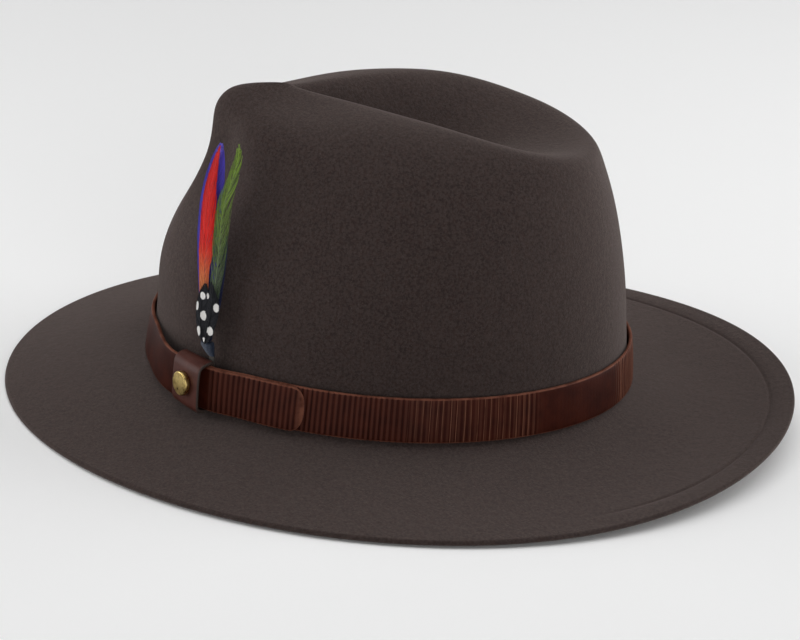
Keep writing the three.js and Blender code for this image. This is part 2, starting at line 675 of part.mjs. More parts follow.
const PIECES = [
  ["felt_body", feltBody(), FINISH.felt],
  ["sweatband", innerBand(SWEATBAND), FINISH.sweatLeather],
  ["sweatband_reed", sweatbandReed(), FINISH.plastic],
  ["reed_tape", innerBand(TAPE), FINISH.tape],
  ["sweatband_bow", sewnInside(bowShape(), 1, 180, 6), FINISH.tape],
  ["size_label", sewnInside(labelShape(16, 12), 0.5, 90, 14), FINISH.label],
  ["lining_side", liningSide(), FINISH.satin],
  ["lining_tip", liningTip(), FINISH.satin],
  ["band_strap", bandStrap(), FINISH.leather],
  ["band_keeper", bandKeeper(), FINISH.leather],
  ["rivet_cap", rivetCap(), FINISH.brass],
  ["rivet_post", rivetPost(), FINISH.brass],
  ["feather_binding", featherBinding(), FINISH.thread],
  ["feather_stem", featherStem(), FINISH.quill],
  ["feather_blue", feather(FEATHERS.feather_blue), FINISH.blue],
  ["feather_navy", feather(FEATHERS.feather_navy), FINISH.navy],
  ["feather_red", feather(FEATHERS.feather_red), FINISH.red],
  ["feather_green", feather(FEATHERS.feather_green), FINISH.green],
  ["feather_guinea_left", feather(FEATHERS.feather_guinea_left), FINISH.guinea],
  ["feather_guinea_right", feather(FEATHERS.feather_guinea_right), FINISH.guinea],
];

const hat = new THREE.Group();
hat.position.set(0, -CROWN_FORWARD, SEAT_HEIGHT);
for (const [name, geometry, finish] of PIECES) {
  const mesh = new THREE.Mesh(geometry, finish.clone());
  mesh.name = name;
  hat.add(mesh);
}

export default hat;
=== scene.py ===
"""A felt fedora with a leather belt band, a riveted keeper and a feather trim, on a pale floor.

Shapes are computed in millimetres in the hat's own frame: z = 0 at the band's bottom line, the front
towards -Y and the wearer's left at +X. in_row() turns them into metres in the row frame.
"""

import math

import bmesh
import bpy
import numpy as np
from mathutils import Matrix, Vector


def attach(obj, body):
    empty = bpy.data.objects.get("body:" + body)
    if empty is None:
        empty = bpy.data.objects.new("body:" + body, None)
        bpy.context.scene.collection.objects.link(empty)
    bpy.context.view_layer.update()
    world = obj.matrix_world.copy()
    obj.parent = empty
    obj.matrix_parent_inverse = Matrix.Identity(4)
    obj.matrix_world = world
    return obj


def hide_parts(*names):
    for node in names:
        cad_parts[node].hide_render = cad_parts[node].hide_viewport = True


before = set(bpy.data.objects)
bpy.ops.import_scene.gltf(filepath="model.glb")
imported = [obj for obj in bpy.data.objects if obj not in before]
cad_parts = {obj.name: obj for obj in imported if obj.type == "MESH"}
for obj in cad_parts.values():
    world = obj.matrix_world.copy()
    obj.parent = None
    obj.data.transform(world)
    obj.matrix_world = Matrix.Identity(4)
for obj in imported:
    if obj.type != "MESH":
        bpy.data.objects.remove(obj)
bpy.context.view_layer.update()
random = np.random.default_rng(7)

MM = 0.001
SEAT = np.array([0, -5.7, 15.6])  # the hat's own origin in the row frame, in millimetres
ROUND = 360  # stations round the head
UP = np.array([0, 0, 1])
VIEW = {"azimuth": 79.644, "elevation": 21.49, "roll": -4.977}  # degrees
LENS = 163.54  # millimetres, on a sensor 36 mm wide
AIM = {"right": 0.0028, "up": 0.01711}  # what the camera looks at, from the hat's own origin, in metres
DISTANCE = 1.55175  # from the camera to that point, in metres
FLOOR_REACH = 6  # half the floor's side, in metres


def in_row(points):
    return (np.asarray(points, float) + SEAT) * MM


def smooth(low, high, x):
    t = np.clip((x - low) / (high - low), 0, 1)
    return t * t * (3 - 2 * t)


def bell(x, spread):
    return np.exp(-((x / spread) ** 2) / 2)


def unit(v):
    return v / np.linalg.norm(v, axis=-1, keepdims=True)


# ---- Camera, lights and floor ----


def make_camera():
    """A long lens from the wearer's left, a little above, rolled to the left."""
    azimuth, elevation, roll = (math.radians(VIEW[a]) for a in ("azimuth", "elevation", "roll"))
    level = math.cos(elevation)
    ahead = Vector((-math.sin(azimuth) * level, math.cos(azimuth) * level, -math.sin(elevation)))
    right = Vector((math.cos(azimuth), math.sin(azimuth), 0))
    up = right.cross(ahead)
    target = Vector(in_row((0, 0, 0))) + right * AIM["right"] + up * AIM["up"]
    x_axis = right * math.cos(roll) - up * math.sin(roll)
    y_axis = right * math.sin(roll) + up * math.cos(roll)
    data = bpy.data.cameras.new("camera")
    data.lens = LENS
    data.sensor_width = 36
    data.clip_start = 0.05
    camera = bpy.data.objects.new("camera", data)
    place = Matrix((x_axis, y_axis, -ahead)).transposed().to_4x4()
    place.translation = target - ahead * DISTANCE
    camera.matrix_world = place
    bpy.context.collection.objects.link(camera)
    bpy.context.scene.camera = camera


def area_light(name, place, power, size):
    """A soft panel of light that faces the hat."""
    data = bpy.data.lights.new(name, "AREA")
    data.energy = power
    data.shape = "RECTANGLE"
    data.size, data.size_y = size
    light = bpy.data.objects.new(name, data)
    light.location = place
    light.rotation_euler = (Vector((0, 0, 0.06)) - Vector(place)).to_track_quat("-Z", "Y").to_euler()
    bpy.context.collection.objects.link(light)


def make_studio():
    """Soft panels above the hat, at its front and back and on the camera's side, with a faint white fill."""
    scene = bpy.context.scene
    scene.view_settings.view_transform = "Standard"
    world = bpy.data.worlds.new("faint_fill")
    world.use_nodes = True
    tree = world.node_tree
    background = tree.nodes["Background"]
    background.inputs["Color"].default_value = (1, 1, 1, 1)
    direction = tree.nodes.new("ShaderNodeTexCoord")
    axes = tree.nodes.new("ShaderNodeSeparateXYZ")
    dimming = tree.nodes.new("ShaderNodeMapRange")
    dimming.interpolation_type = "SMOOTHSTEP"
    for key, value in {"From Min": -0.3, "From Max": 0.8, "To Min": 0.058, "To Max": 0.017}.items():
        dimming.inputs[key].default_value = value
    tree.links.new(direction.outputs["Generated"], axes.inputs[0])
    tree.links.new(axes.outputs["X"], dimming.inputs["Value"])
    tree.links.new(dimming.outputs["Result"], background.inputs["Strength"])
    scene.world = world
    area_light("top_panel", (-0.2, 0.1, 1.5), 15, (1.8, 1.8))
    area_light("front_panel", (-0.2, -1.3, 0.3), 13, (1.2, 1.2))
    area_light("back_panel", (-0.2, 1.3, 0.6), 11, (1.2, 1.2))
    area_light("fill_panel", (1.6, 0.0, 0.5), 8, (0.8, 0.8))
    mesh = bpy.data.meshes.new("floor")
    corners = [(x * FLOOR_REACH, y * FLOOR_REACH, 0) for x, y in ((-1, -1), (1, -1), (1, 1), (-1, 1))]
    mesh.from_pydata(corners, [], [(0, 1, 2, 3)])
    floor = bpy.data.objects.new("floor", mesh)
    floor.location.z = -0.0003
    bpy.context.collection.objects.link(floor)
    mesh.materials.append(floor_material())


# ---- Materials ----


class Recipe:
    """A node material: add() makes a node and sets or links its inputs."""

    def __init__(self, name):
        self.material = bpy.data.materials.new(name)
        self.material.use_nodes = True
        self.tree = self.material.node_tree
        self.shader = self.tree.nodes["Principled BSDF"]

    def put(self, node, inputs):
        for key, value in inputs.items():
            if isinstance(value, bpy.types.NodeSocket):
                self.tree.links.new(value, node.inputs[key])
            else:
                node.inputs[key].default_value = value

    def add(self, kind, inputs, **settings):
        node = self.tree.nodes.new("ShaderNode" + kind)
        for key, value in settings.items():
            setattr(node, key, value)
        self.put(node, inputs)
        return node

    def place(self):
        return self.add("TexCoord", {}).outputs["Object"]

    def noise(self, scale, detail=3, vector=None, roughness=0.5):
        inputs = {"Vector": vector or self.place(), "Scale": scale, "Detail": detail, "Roughness": roughness}
        return self.add("TexNoise", inputs).outputs["Fac"]

    def attribute(self, name):
        return self.add("Attribute", {}, attribute_name=name).outputs["Fac"]

    def math(self, operation, a, b=0.0, c=0.0):
        return self.add("Math", {0: a, 1: b, 2: c}, operation=operation).outputs[0]

    def ramp(self, value, low, high, to_low=0.0, to_high=1.0):
        """value from low..high mapped smoothly to to_low..to_high."""
        inputs = {"Value": value, "From Min": low, "From Max": high, "To Min": to_low, "To Max": to_high}
        return self.add("MapRange", inputs, interpolation_type="SMOOTHSTEP").outputs["Result"]

    def blend(self, share, a, b):
        """Colour a where share is 0 and b where it is 1."""
        node = self.add("Mix", {"Factor": share}, data_type="RGBA")
        for index, colour in ((6, a), (7, b)):
            if isinstance(colour, bpy.types.NodeSocket):
                self.tree.links.new(colour, node.inputs[index])
            else:
                node.inputs[index].default_value = (*colour, 1)
        return node.outputs[2]

    def bump(self, height, strength, distance, under=None):
        inputs = {"Height": height, "Strength": strength, "Distance": distance}
        if under is not None:
            inputs["Normal"] = under
        return self.add("Bump", inputs).outputs["Normal"]

    def finish(self, **inputs):
        self.put(self.shader, {key.replace("_", " "): value for key, value in inputs.items()})
        return self.material


def floor_material():
    m = Recipe("floor")
    shade = m.blend(m.noise(3), (0.95, 0.95, 0.95), (0.97, 0.97, 0.97))
    return m.finish(Base_Color=shade, Roughness=0.9, Specular_IOR_Level=0.1)


def felt_material():
    """Dark taupe wool felt: soft clouds, a fine mottled nap and paler fibres, with a painted sheen that makes
    it lighter where seen edge on.
    """
    m = Recipe("felt")
    clouds = m.ramp(m.noise(40, 4), 0.3, 0.7)
    nap = m.ramp(m.noise(850, 5, roughness=0.7), 0.36, 0.64)
    warm = m.ramp(m.noise(520, 3), 0.42, 0.62)
    base = m.blend(clouds, (0.0245, 0.0168, 0.0157), (0.029, 0.0203, 0.0188))
    base = m.blend(m.math("MULTIPLY", warm, 0.35), base, (0.045, 0.026, 0.022))
    base = m.blend(m.math("MULTIPLY", nap, 0.6), base, (0.062, 0.046, 0.042))
    fibres = m.ramp(m.noise(1900, 2, roughness=0.7), 0.6, 0.7, 0, 0.4)
    base = m.blend(fibres, base, (0.11, 0.085, 0.078))
    # painted sheen: the colour is lightened where the felt is seen edge on
    painted_sheen = m.add("LayerWeight", {"Blend": 0.3}).outputs["Facing"]
    base = m.blend(m.math("MULTIPLY", painted_sheen, 0.25), base, (0.095, 0.074, 0.069))
    fuzz = m.bump(m.noise(1500, 3, roughness=0.7), 0.45, 0.0005)
    normal = m.bump(m.noise(330, 3), 0.3, 0.0007, fuzz)
    return m.finish(
        Base_Color=base, Normal=normal, Roughness=0.95, Specular_IOR_Level=0.06, Sheen_Weight=0.2,
        Sheen_Roughness=0.5, Sheen_Tint=(0.8, 0.68, 0.64, 1),
    )


def band_leather():
    """Dark red-brown strap leather: painted shade in the grooves between its ribs and a painted highlight on
    their crests, crests rubbed pale where worn, fine pale creases, and cut edges lighter both as raw edges
    and by a painted highlight.
    """
    m = Recipe("band_leather")
    along, up = m.attribute("along"), m.attribute("up")
    ribbed, worn = m.attribute("ribbed"), m.attribute("worn")
    base = m.blend(m.ramp(m.noise(140, 4), 0.3, 0.7), (0.028, 0.0046, 0.0021), (0.046, 0.0085, 0.004))
    # painted shade: the grooves between the ribs are darkened in the colour
    painted_groove_shade = m.math("MULTIPLY", m.ramp(m.attribute("rib"), 0.15, 0.62, 1, 0), ribbed)
    base = m.blend(m.math("MULTIPLY", painted_groove_shade, 0.85), base, (0.006, 0.002, 0.0016))
    # painted highlight on the rib crests; the line after it also rubs the crests pale where the strap is worn
    top = m.math("MULTIPLY", m.ramp(m.attribute("rib"), 0.75, 1.0), ribbed)
    base = m.blend(m.math("MULTIPLY", top, 0.45), base, (0.105, 0.036, 0.024))
    base = m.blend(m.math("MULTIPLY", m.math("MULTIPLY", top, worn), 0.6), base, (0.2, 0.08, 0.05))
    stretched = m.add("CombineXYZ", {"X": along, "Y": m.math("MULTIPLY", up, 0.06), "Z": 0.0}).outputs[0]
    shifted = m.math("MULTIPLY_ADD", m.noise(0.2, 2, stretched), 0.9, m.math("DIVIDE", along, CREASE_PITCH))
    line = m.ramp(m.math("ABSOLUTE", m.math("SUBTRACT", m.math("FRACT", shifted), 0.5)), 0.02, 0.08, 1, 0)
    strength = m.ramp(m.noise(0.9, 3, stretched, 0.7), 0.3, 0.55)
    pale = m.math("MULTIPLY", m.math("MULTIPLY", line, strength), worn)
    base = m.blend(m.math("MULTIPLY", pale, 0.8), base, (0.2, 0.085, 0.05))
    # cut edges and the skived tail end lightened: partly the raw leather's own tone, partly a painted
    # highlight
    edge = m.math("MULTIPLY", m.attribute("edge"), m.ramp(m.noise(210, 3), 0.3, 0.65, 0.3, 1))
    base = m.blend(edge, base, (0.17, 0.062, 0.038))
    normal = m.bump(m.noise(900, 4, roughness=0.6), 0.25, 0.0003)
    return m.finish(Base_Color=base, Normal=normal, Roughness=0.5, Specular_IOR_Level=0.08)


def keeper_leather():
    """The keeper's leather: a little lighter, with burnished grey-brown cut ends and painted shade darkening
    its inside.
    """
    m = Recipe("keeper_leather")
    base = m.blend(m.ramp(m.noise(140, 4), 0.3, 0.7), (0.055, 0.014, 0.009), (0.082, 0.025, 0.018))
    base = m.blend(m.attribute("edge"), base, (0.05, 0.036, 0.031))
    # painted shade: the inside face of the loop is darkened
    base = m.blend(m.attribute("painted_inside_shade"), base, (0.012, 0.006, 0.005))
    normal = m.bump(m.noise(900, 4, roughness=0.6), 0.22, 0.0003)
    return m.finish(Base_Color=base, Normal=normal, Roughness=0.5, Specular_IOR_Level=0.25)


def brass_material():
    m = Recipe("brass")
    tarnish = m.ramp(m.noise(420, 4, roughness=0.6), 0.35, 0.75)
    base = m.blend(tarnish, (0.72, 0.55, 0.22), (0.42, 0.3, 0.1))
    normal = m.bump(m.noise(700, 3), 0.12, 0.0002)
    rough = m.ramp(m.noise(500, 3), 0.3, 0.7, 0.22, 0.4)
    return m.finish(Base_Color=base, Normal=normal, Roughness=rough, Metallic=1.0)


def vane_material(name, root, middle, tip, turn=(0.12, 0.4), streaks=0.5, dark=None):
    """A dyed feather vane: colour along the feather, with each barb a little lighter or darker."""
    m = Recipe(name)
    along, shade = m.attribute("along"), m.attribute("shade")
    base = m.blend(m.ramp(along, *turn), root, middle)
    base = m.blend(m.ramp(along, 0.55, 1.0), base, tip)
    base = m.blend(m.math("MULTIPLY", shade, streaks), base, dark or tuple(0.3 * c for c in middle))
    return m.finish(
        Base_Color=base, Roughness=0.6, Specular_IOR_Level=0.3, Sheen_Weight=0.15, Sheen_Roughness=0.4,
    )


def guinea_material(name, spots):
    """A black vane with oval white spots at (across, up) places on the trim, in millimetres."""
    m = Recipe(name)
    across, up = m.attribute("across"), m.attribute("up")
    white = 0.0
    for x, y, half_width, half_height in spots:
        dx = m.math("DIVIDE", m.math("SUBTRACT", across, x), half_width)
        dy = m.math("DIVIDE", m.math("SUBTRACT", up, y), half_height)
        away = m.math("ADD", m.math("MULTIPLY", dx, dx), m.math("MULTIPLY", dy, dy))
        white = m.math("MAXIMUM", m.ramp(away, 0.75, 1.1, 1, 0), white)
    dark = m.blend(m.attribute("shade"), (0.006, 0.0065, 0.009), (0.022, 0.023, 0.028))
    base = m.blend(white, dark, (0.78, 0.77, 0.75))
    return m.finish(Base_Color=base, Roughness=0.6, Specular_IOR_Level=0.15)


def plain_material(name, dark, light, scale=300, roughness=0.6, relief=0.2, **extra):
    """Two close tones in fine noise with a little relief."""
    m = Recipe(name)
    grain = m.noise(scale, 4, roughness=0.6)
    base = m.blend(m.ramp(grain, 0.3, 0.7), dark, light)
    normal = m.bump(grain, relief, 0.0003)
    return m.finish(Base_Color=base, Normal=normal, Roughness=roughness, **extra)


# ---- Mesh pieces ----


def grid_faces(rows, columns, wrap_rows=False, wrap_columns=False, start=0):
    i = np.arange(rows if wrap_rows else rows - 1)
    j = np.arange(columns if wrap_columns else columns - 1)
    i, j = np.meshgrid(i, j, indexing="ij")
    after_i, after_j = (i + 1) % rows, (j + 1) % columns
    corners = [i * columns + j, i * columns + after_j, after_i * columns + after_j, after_i * columns + j]
    return (np.stack(corners, -1).reshape(-1, 4) + start).tolist()


def strip_faces(stations, around, start=0):
    """A closed tube of loops with flat ends."""
    last = start + (stations - 1) * around
    ends = [list(range(start, start + around))[::-1], list(range(last, last + around))]
    return grid_faces(stations, around, wrap_columns=True, start=start) + ends


def piece(name, points, faces, body, material, slot, replaced=(), attributes=None, relax=None):
    """A named mesh piece that rides on a body. points are in millimetres in the hat's own frame.

    relax says which points are smoothed, by their place in the row frame."""
    mesh = bpy.data.meshes.new(name)
    mesh.from_pydata(in_row(points).tolist(), [], faces)
    for key, values in (attributes or {}).items():
        layer = mesh.attributes.new(key, "FLOAT", "POINT")
        layer.data.foreach_set("value", np.asarray(values, np.float32).ravel())
    work = bmesh.new()
    work.from_mesh(mesh)
    bmesh.ops.remove_doubles(work, verts=work.verts, dist=1e-7)
    bmesh.ops.recalc_face_normals(work, faces=work.faces)
    if relax is not None:
        soft = [v for v in work.verts if relax(v.co)]
        for _ in range(24):
            bmesh.ops.smooth_vert(
                work, verts=soft, factor=0.5, use_axis_x=True, use_axis_y=True, use_axis_z=True
            )
    work.to_mesh(mesh)
    work.free()
    mesh.shade_smooth()
    mesh.materials.append(material)
    made = bpy.data.objects.new(name, mesh)
    bpy.context.collection.objects.link(made)
    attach(made, body)
    if replaced:
        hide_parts(*replaced)
    return made


def joined(parts):
    """Several (points, faces) as one."""
    points, faces, start = [], [], 0
    for some, own in parts:
        points.append(np.asarray(some, float).reshape(-1, 3))
        faces += [[k + start for k in face] for face in own]
        start += len(points[-1])
    return np.concatenate(points), faces


def tube(path, radii, sides=8, flat=1.0):
    """A round tube along a path; flat below 1 squashes it against its own second direction."""
    path = np.asarray(path, float)
    radii = np.broadcast_to(radii, len(path))
    ahead = unit(np.gradient(path, axis=0))
    guess = np.array([0.3, 0.2, 1.0]) if abs(ahead[:, 2]).mean() < 0.8 else np.array([1.0, 0.1, 0.2])
    side = unit(np.cross(ahead, guess))
    rise = np.cross(side, ahead)
    turn = np.linspace(0, 2 * np.pi, sides, endpoint=False)
    ring = side[:, None] * np.cos(turn)[None, :, None] + rise[:, None] * flat * np.sin(turn)[None, :, None]
    points = path[:, None] + ring * radii[:, None, None]
    return points.reshape(-1, 3), strip_faces(len(path), sides)


# ---- The felt's surface ----

HEAD = (88, 102.8)  # half width and half length of the felt at the band's bottom line
FELT = 2.2  # its thickness
RIDGE = {"height": 121.4, "fall": 17, "width": 63, "length": 67.5, "centre": 11.5, "point": 1.35}
NOSE = {"rise": 1.6, "spread": 15}  # the front of the crown stands a little above the ridge
FRONT_ROWS = np.array(
    [[0, 0], [0, 0.17], [0.02, 0.34], [0.135, 0.51], [0.285, 0.655], [0.37, 0.76]]
    + [[0.385, 0.85], [0.4, 0.92], [0.51, 0.976], [0.685, 0.994], [0.84, 0.998], [1, 0.998]]
)
SIDE_ROWS = np.array(
    [[0, 0], [0.02, 0.17], [0.06, 0.34], [0.12, 0.51], [0.22, 0.655], [0.36, 0.78]]
    + [[0.5, 0.87], [0.64, 0.93], [0.77, 0.97], [0.88, 0.99], [0.95, 0.998], [1, 1]]
)
BACK_ROWS = np.array(
    [[0, 0], [0.06, 0.17], [0.2, 0.36], [0.35, 0.54], [0.51, 0.69], [0.665, 0.8]]
    + [[0.8, 0.88], [0.89, 0.93], [0.95, 0.965], [0.98, 0.985], [1, 0.995], [1, 1]]
)
DENT_ROWS = np.array([[0, 0], [0.12, 0.03], [0.28, 0.2], [0.48, 0.55], [0.68, 0.84], [0.85, 0.97], [1, 1]])
DENT_DEPTH = (16, 36, 8)  # at the front, middle and back
WAIST = {"depth": 3.1, "height": 20, "spread": 10, "fade": 0.5}  # it fades towards the back
PINCH = {"angle": 14, "height": 98, "spread": 10, "tall": 20, "depth": 6}
SHOULDER = {"angle": 36, "spread": 17, "depth": 5}
BRIM = {"width": 65.4, "root": -3.3, "mean": -11.08, "front_drop": 5.59, "side_drop": 2.89, "corner": 1.3}
BRIM["back_shift"] = 5.7


def oval(phi, off=0.0, z=0.0):
    """Points on the base oval moved out by off; angle 0 is the front, +90 degrees the wearer's left."""
    half_width, half_length = HEAD
    normal = oval_normal(phi)
    x = half_width * np.sin(phi) + off * normal[..., 0]
    y = -half_length * np.cos(phi) + off * normal[..., 1]
    return np.stack([x, y, z + 0 * x], -1)


def oval_normal(phi):
    phi = np.asarray(phi, float)
    return unit(np.stack([HEAD[1] * np.sin(phi), -HEAD[0] * np.cos(phi), 0 * phi], -1))


def ridge_line(phi):
    half = np.sin(np.abs(phi) / 2)
    x = RIDGE["width"] * np.sin(np.abs(phi)) * half ** RIDGE["point"] * np.sign(phi)
    y = -RIDGE["length"] * np.cos(phi) + RIDGE["centre"]
    nose = NOSE["rise"] * bell(np.degrees(phi), NOSE["spread"])
    return np.stack([x, y, RIDGE["height"] - RIDGE["fall"] * half**4 + nose], -1)


def wall_rows(phi):
    """Control points up the wall: front, side and back rows blended, then waisted and pinched."""
    front, back = np.clip(np.cos(phi), 0, 1) ** 2, np.clip(-np.cos(phi), 0, 1) ** 2
    rows = (
        front[:, None, None] * FRONT_ROWS
        + (1 - front - back)[:, None, None] * SIDE_ROWS
        + back[:, None, None] * BACK_ROWS
    )
    share, base, top = rows[..., 0], oval(phi)[:, None], ridge_line(phi)[:, None]
    p = base + (top - base) * share[..., None]
    p[..., 2] = top[..., 2] * rows[..., 1]
    turned = np.degrees(np.abs(phi))[:, None]
    pinched = bell(turned - PINCH["angle"], PINCH["spread"])
    pinched = pinched * bell(p[..., 2] - PINCH["height"], PINCH["tall"])
    hollow = PINCH["depth"] * pinched * np.clip((1 - share) / 0.3, 0, 1)
    fade = 1 - WAIST["fade"] * (1 - np.cos(phi))[:, None] / 2
    waist = fade * WAIST["depth"] * np.exp(-(((p[..., 2] - WAIST["height"]) / WAIST["spread"]) ** 2))
    p -= oval_normal(phi)[:, None] * (hollow + waist)[..., None]
    shoulder = bell(turned - SHOULDER["angle"], SHOULDER["spread"])
    p[..., 2] -= SHOULDER["depth"] * shoulder * np.sin(np.pi * np.clip((share - 0.25) / 0.75, 0, 1))
    return p


def spline(rows, t):
    """A uniform cubic B-spline for each station, through its first and last control points; t is n by m."""
    rows = np.concatenate([2 * rows[:, :1] - rows[:, 1:2], rows, 2 * rows[:, -1:] - rows[:, -2:-1]], 1)
    spans = rows.shape[1] - 3
    i = np.clip((t * spans).astype(int), 0, spans - 1)
    f = (t * spans - i)[..., None]
    weights = ((1 - f) ** 3, 3 * f**3 - 6 * f**2 + 4, -3 * f**3 + 3 * f**2 + 3 * f + 1, f**3)
    station = np.arange(len(rows))[:, None]
    return sum(rows[station, i + k] * w / 6 for k, w in enumerate(weights))


def dent_rows(phi, ridge):
    """Control points from the ridge down to a floor line that runs front to back."""
    back = (1 - np.cos(phi)) / 2
    floor_y = RIDGE["centre"] - 2 + (ridge[:, 1] - RIDGE["centre"]) * 0.42
    at_front, middle, at_back = DENT_DEPTH
    depth = at_front * (1 - back) ** 2 + middle * 2 * back * (1 - back) + at_back * back**2
    floor = np.stack([0 * phi, floor_y, RIDGE["height"] - depth - RIDGE["fall"] * back**2], -1)
    p = ridge[:, None] + (floor - ridge)[:, None] * DENT_ROWS[:, :1]
    p[..., 2] = ridge[:, None, 2] + (floor - ridge)[:, None, 2] * DENT_ROWS[:, 1]
    return p


WALL_SPANS, DENT_SPANS = len(SIDE_ROWS) - 1, len(DENT_ROWS) - 1
CENTRE_CLEARANCE = 0.3  # between the felt's inside and the centre plane, fading to the dent's floor line
BACK_ROUNDING = 7  # passes of smoothing that round the ridge off towards the back


def crown(t, phi):
    """The felt's outer face: t is 0 at the band's bottom line, 1 on the ridge, 2 on the dent's floor."""
    t = np.broadcast_to(t, (len(phi), np.shape(t)[-1]))
    wall = wall_rows(phi)
    rows = np.concatenate([wall, dent_rows(phi, wall[:, -1])[:, 1:]], 1)
    amount = 0.5 * smooth(80, 135, np.degrees(np.abs(phi)))[:, None, None]
    for _ in range(BACK_ROUNDING):
        between = (rows[:, 5:-2] + rows[:, 7:]) / 2
        rows[:, 6:-1] += amount * (between - rows[:, 6:-1])
    along = np.where(t <= 1, t * WALL_SPANS, WALL_SPANS + (t - 1) * DENT_SPANS)
    return spline(rows, along / (WALL_SPANS + DENT_SPANS))


def inside(t, phi, depth):
    """The outer face moved inwards by depth; straight down on the dent's floor line."""
    step = 1e-3
    t = np.broadcast_to(t, (len(phi), np.shape(t)[-1]))
    along = crown(np.clip(t + step, 0, 2), phi) - crown(np.clip(t - step, 0, 2), phi)
    across = crown(t, phi + step) - crown(t, phi - step)
    normal = unit(np.cross(across, along))
    normal += (np.array([0, 0, 1]) - normal) * smooth(1.4, 2, t)[..., None]
    p = crown(t, phi) - unit(normal) * np.broadcast_to(depth, t.shape)[..., None]
    # Each half stays on its own side where the ridge and the dent come to a point at the front.
    half = np.sign(phi)[:, None]
    p[..., 0] = half * np.maximum(half * p[..., 0], CENTRE_CLEARANCE * (2 - t))
    return p


def wall_at(heights, phi):
    """The wall parameter where the crown is at each height, for each station."""
    t = np.linspace(0, 0.6, 200)
    z = crown(t, phi)[..., 2]
    return np.stack([np.interp(heights, z[i], t) for i in range(len(phi))])


def brim(s, phi, side):
    """The brim: s is 0 at the crown and 1 at the edge; side is 1 on its top face, -1 underneath."""
    s, phi = np.asarray(s, float)[None, :], phi[:, None]
    width, root = BRIM["width"], BRIM["root"]
    edge = BRIM["mean"] - BRIM["front_drop"] * np.cos(phi)
    edge = edge + BRIM["side_drop"] * np.cos(2 * phi) - BRIM["corner"] * np.cos(3 * phi)
    back = (1 - np.cos(phi)) / 2
    z = root + (edge - root) * s**1.15 - 4 * back**2 * np.sin(np.pi * s) + side * FELT / 2
    from_edge = (1 - s) * width
    lip = smooth(math.radians(108), math.radians(130), np.abs(phi))
    z += lip * (0.35 * smooth(9.3, 5, from_edge) - 0.5 * bell(from_edge - 9.4, 0.5))
    z += 1.9 * np.exp(-s * width / 2.2) * (side > 0)
    x = (HEAD[0] + width * s) * np.sin(phi)
    y = -(HEAD[1] + width * s) * np.cos(phi) + BRIM["back_shift"] * s
    return np.stack([x, y, z], -1)


STATIONS = -np.pi + 2 * np.pi * (np.arange(ROUND) + 0.5) / ROUND


def floor_of_dent(co):
    """True for the middle of the dent, up to the nose, and of its lining, where the two halves meet."""
    x, y, z = np.array(co) / MM - SEAT
    return abs(x) < 9 and -53 < y < 62 and z > 60


def make_felt(material):
    phi = STATIONS
    bow = [math.radians(a) for a in np.linspace(90, -90, 7)[1:-1]]
    across = [np.linspace(0.004, 0.1, 12), np.linspace(0.12, 0.8, 30), np.linspace(0.805, 0.992, 40)]
    across = np.concatenate(across)
    tip, middle = brim([1.0], phi, 0), brim([0.992], phi, 0)
    outward = unit(tip - middle)
    half = FELT / 2
    rounded = [
        middle + outward * half * 0.9 * math.cos(a) + UP * half * math.sin(a) for a in bow
    ]
    section = np.concatenate(
        [
            crown(np.linspace(2, 0, 170), phi),
            brim(across, phi, 1),
            *rounded,
            brim(across[::-1], phi, -1),
            inside(np.linspace(0.02, 2, 90), phi, FELT),
        ],
        axis=1,
    )
    rows, columns = section.shape[:2]
    return piece(
        "felt_hat", section.reshape(-1, 3), grid_faces(rows, columns, wrap_rows=True), "hat", material,
        "felt", ["felt_body"], relax=floor_of_dent,
    )


# ---- Band, keeper and rivet ----

BAND_LOW, BAND_TOP = 0.4, 19.0
BAND_MIDDLE = (BAND_LOW + BAND_TOP) / 2
STRAP = 1.5  # its thickness
GAP = 0.3  # between pieces that touch
KEEPER_ANGLE, KEEPER_SPAN = 33, 5.1
INNER_AT = 3.0  # the strap's inner face inside the keeper, off the felt
KEEPER_FRONT = 6.6  # the inside of the keeper's front wall at its tight end
KEEPER_FLARE = 3.0  # how much further out it stands at the end towards the back
KEEPER_LEATHER = 1.4  # its thickness
KEEPER_BULGE = 0.5
TAIL_TIP, TAIL_ROUND = 422.8, 3.6
RIB_PITCH = 2.2
CREASE_PITCH = 2.9  # of the fine pale lines across the smooth part of the strap
RIVET_AT = KEEPER_FRONT + KEEPER_FLARE / 2 + KEEPER_LEATHER + KEEPER_BULGE  # under its head, off the felt
RIVET_HEIGHT = 10.4
RIVET_TURN = math.radians(10)  # the head faces this much more to the front than the felt does


def band_point(phi, off, z, upright=0.0):
    """A point off the felt by off, on the band's own leaning face unless it stands upright."""
    lean = (1.8 + 0.15 * (1 - np.cos(phi))) * (1 - upright) * z / BAND_TOP
    return oval(phi, off - lean, z)


def strap_offset(angle):
    """How far the strap's inner face stands off the felt, along its length in degrees from the front."""
    start = KEEPER_ANGLE + KEEPER_SPAN
    lift, layer = INNER_AT - GAP, STRAP + GAP
    under = GAP + lift * (1 - smooth(start, start + 10, angle))
    tail = GAP + lift * (1 - smooth(start, start + 10, angle - 360)) + layer
    rising = GAP + (lift + layer) * smooth(364, 360 + KEEPER_ANGLE - KEEPER_SPAN, angle)
    return np.where(angle < 200, under, np.where(angle > 360 + start, tail, rising))


def rib_depth(angle):
    """How strongly the strap is ribbed: smooth round the front and in one patch towards the back."""
    ribbed = smooth(40, 44, angle) * (1 - smooth(330, 345, angle)) + smooth(398, 400, angle)
    patch = smooth(112, 121, angle) * (1 - smooth(146, 151, angle))
    faded = smooth(80, 92, angle) * (1 - smooth(112, 118, angle))
    return np.clip(ribbed, 0, 1) * (1 - 0.97 * patch) * (1 - 0.8 * faded)


